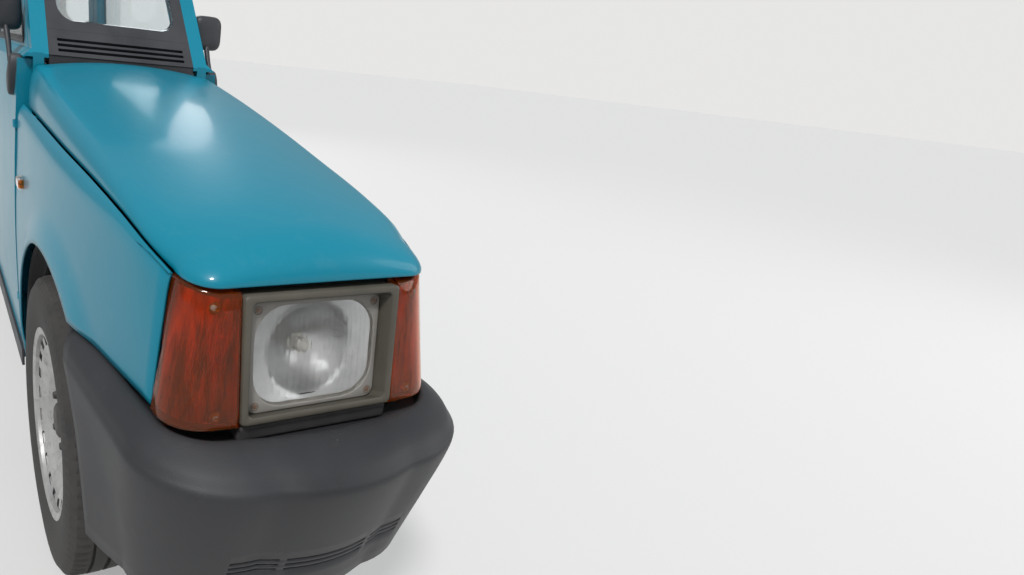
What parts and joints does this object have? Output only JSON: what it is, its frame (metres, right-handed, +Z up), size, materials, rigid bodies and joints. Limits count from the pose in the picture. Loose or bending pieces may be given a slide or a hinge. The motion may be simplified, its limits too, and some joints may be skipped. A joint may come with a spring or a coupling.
{
  "type": "electric microcar",
  "caption": "One-seat microcar with a very narrow hatchback body on road wheels, with opening doors, bonnet and tailgate and steered front wheels.",
  "frame": {"origin": "on the ground under the middle of the body's length and width", "axes": "+X to the car's left, +Y towards the tail, +Z up"},
  "size_m": [0.544, 3.3998, 1.453],
  "materials": {
    "body_paint": "gloss",
    "bumper_plastic": "grained",
    "trim_plastic": "satin",
    "glass": "clear",
    "rubber": "matt",
    "tyre_rubber": "matt",
    "wheel_steel": "satin",
    "frame_steel": "satin",
    "lamp_body": "satin",
    "clear_lens": "fluted",
    "amber_lens": "ribbed",
    "red_lens": "ribbed",
    "seat_fabric": "woven",
    "cabin_trim": "grained",
    "floor_steel": "matt",
    "axle_steel": "rough",
    "battery_case": "matt"
  },
  "bodies": {
    "chassis": {"battery_block": "battery_case", "chassis_frame": "frame_steel", "dashboard": "cabin_trim", "floor_pan": "floor_steel", "front_axle": "axle_steel", "front_bumper": "bumper_plastic", "front_liner": "floor_steel", "front_wings": "body_paint", "headlamp_body": "lamp_body", "headlamp_lens": "clear_lens", "indicator_lamps": "amber_lens", "nose_panel": "floor_steel", "quarter_glass": "glass", "rack_housing": "axle_steel", "rear_axle": "axle_steel", "rear_bumper": "bumper_plastic", "rear_liner": "floor_steel", "roof_panel": "body_paint", "scuttle_panel": "trim_plastic", "seat_back": "seat_fabric", "seat_cushion": "seat_fabric", "seat_frame": "frame_steel", "side_frame_left": "body_paint", "side_frame_right": "body_paint", "sill_trims": "trim_plastic", "steering_column": "cabin_trim", "tail_lamps": "red_lens", "windscreen_glass": "glass", "windscreen_seal": "trim_plastic"},
    "bonnet": {"bonnet": "body_paint"},
    "door_left": {"door_left": "body_paint", "door_glass_left": "glass", "mirror_left": "trim_plastic"},
    "door_right": {"door_right": "body_paint", "door_glass_right": "glass", "mirror_right": "trim_plastic"},
    "tailgate": {"tailgate": "body_paint", "rear_glass": "glass", "rear_window_seal": "rubber"},
    "steering_wheel": {"steering_wheel": "cabin_trim"},
    "rack_bar": {"rack_bar": "axle_steel"},
    "knuckle_left": {"knuckle_left": "axle_steel"},
    "knuckle_right": {"knuckle_right": "axle_steel"},
    "wheel_front_left": {"rim_front_left": "wheel_steel", "tyre_front_left": "tyre_rubber"},
    "wheel_front_right": {"rim_front_right": "wheel_steel", "tyre_front_right": "tyre_rubber"},
    "wheel_rear_left": {"rim_rear_left": "wheel_steel", "tyre_rear_left": "tyre_rubber"},
    "wheel_rear_right": {"rim_rear_right": "wheel_steel", "tyre_rear_right": "tyre_rubber"}
  },
  "joints": [
    {"name": "bonnet_hinge", "type": "hinge", "parent": "chassis", "child": "bonnet", "pos_m": [0, -0.702, 0.868], "axis": [-1, 0, 0], "range_deg": [0, 50]},
    {"name": "door_hinge_left", "type": "hinge", "parent": "chassis", "child": "door_left", "pos_m": [0.231, -0.651, 0.545], "axis": [0, 0, -1], "range_deg": [0, 65]},
    {"name": "door_hinge_right", "type": "hinge", "parent": "chassis", "child": "door_right", "pos_m": [-0.231, -0.651, 0.545], "axis": [0, 0, 1], "range_deg": [0, 65]},
    {"name": "tailgate_hinge", "type": "hinge", "parent": "chassis", "child": "tailgate", "pos_m": [0, 1.33945, 1.448], "axis": [1, 0, 0], "range_deg": [0, 80]},
    {"name": "steer_left", "type": "hinge", "parent": "chassis", "child": "knuckle_left", "pos_m": [0.115, -1.1, 0.27], "axis": [0, 0, 1], "range_deg": [-15, 15]},
    {"name": "steer_right", "type": "hinge", "parent": "chassis", "child": "knuckle_right", "pos_m": [-0.115, -1.1, 0.27], "axis": [0, 0, 1], "range_deg": [-15, 15]},
    {"name": "rack_slide", "type": "slide", "parent": "chassis", "child": "rack_bar", "axis": [-1, 0, 0], "range_m": [-0.027, 0.027]},
    {"name": "steering_wheel_turn", "type": "hinge", "parent": "chassis", "child": "steering_wheel", "pos_m": [0, -0.248, 0.842], "axis": [0, 0.788, 0.6157], "range_deg": [-180, 180]},
    {"name": "wheel_spin_front_left", "type": "hinge", "parent": "knuckle_left", "child": "wheel_front_left", "pos_m": [0.178, -1.1, 0.27], "axis": [1, 0, 0], "continuous": true},
    {"name": "wheel_spin_front_right", "type": "hinge", "parent": "knuckle_right", "child": "wheel_front_right", "pos_m": [-0.178, -1.1, 0.27], "axis": [1, 0, 0], "continuous": true},
    {"name": "wheel_spin_rear_left", "type": "hinge", "parent": "chassis", "child": "wheel_rear_left", "pos_m": [0.178, 1.06, 0.27], "axis": [1, 0, 0], "continuous": true},
    {"name": "wheel_spin_rear_right", "type": "hinge", "parent": "chassis", "child": "wheel_rear_right", "pos_m": [-0.178, 1.06, 0.27], "axis": [1, 0, 0], "continuous": true}
  ],
  "couplings": [
    {"joint": "steer_right", "follows": "steer_left", "ratio": 1},
    {"joint": "rack_slide", "follows": "steer_left", "m_per_rad": 0.1},
    {"joint": "steering_wheel_turn", "follows": "steer_left", "ratio": 12}
  ]
}
